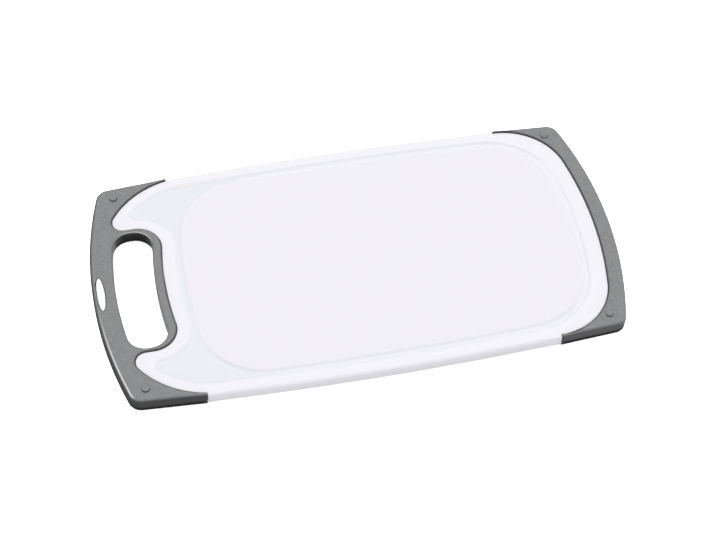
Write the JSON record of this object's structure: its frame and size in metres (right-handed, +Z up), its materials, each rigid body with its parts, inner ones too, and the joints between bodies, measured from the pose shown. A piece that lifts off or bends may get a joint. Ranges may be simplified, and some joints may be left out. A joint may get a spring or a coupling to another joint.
{
  "type": "plastic cutting board",
  "caption": "Oblong plastic cutting board with bowed edges, a juice groove that opens into wells, soft grips over its ends, rubber studs and a handle window.",
  "frame": {"origin": "middle of the board's plan, in the plane of the studs' feet", "axes": "+X along the board away from the handle, +Y across the board, +Z up out of the grooved face"},
  "size_m": [0.375, 0.2, 0.0134],
  "materials": {
    "white_plastic": "white moulded polypropylene with a fine satin grain",
    "grey_rubber": "mid grey soft elastomer, matt with a fine grain",
    "stud_rubber": "mid grey soft elastomer, slightly smoother than the grips",
    "inlay_plastic": "plain white plastic, bare"
  },
  "bodies": {
    "root": {"board_panel": "white_plastic", "handle_grip": "grey_rubber", "end_grip": "grey_rubber", "badge_inlay": "inlay_plastic", "stud_handle_far": "stud_rubber", "stud_handle_near": "stud_rubber", "stud_end_far": "stud_rubber", "stud_end_near": "stud_rubber"}
  },
  "joints": []
}
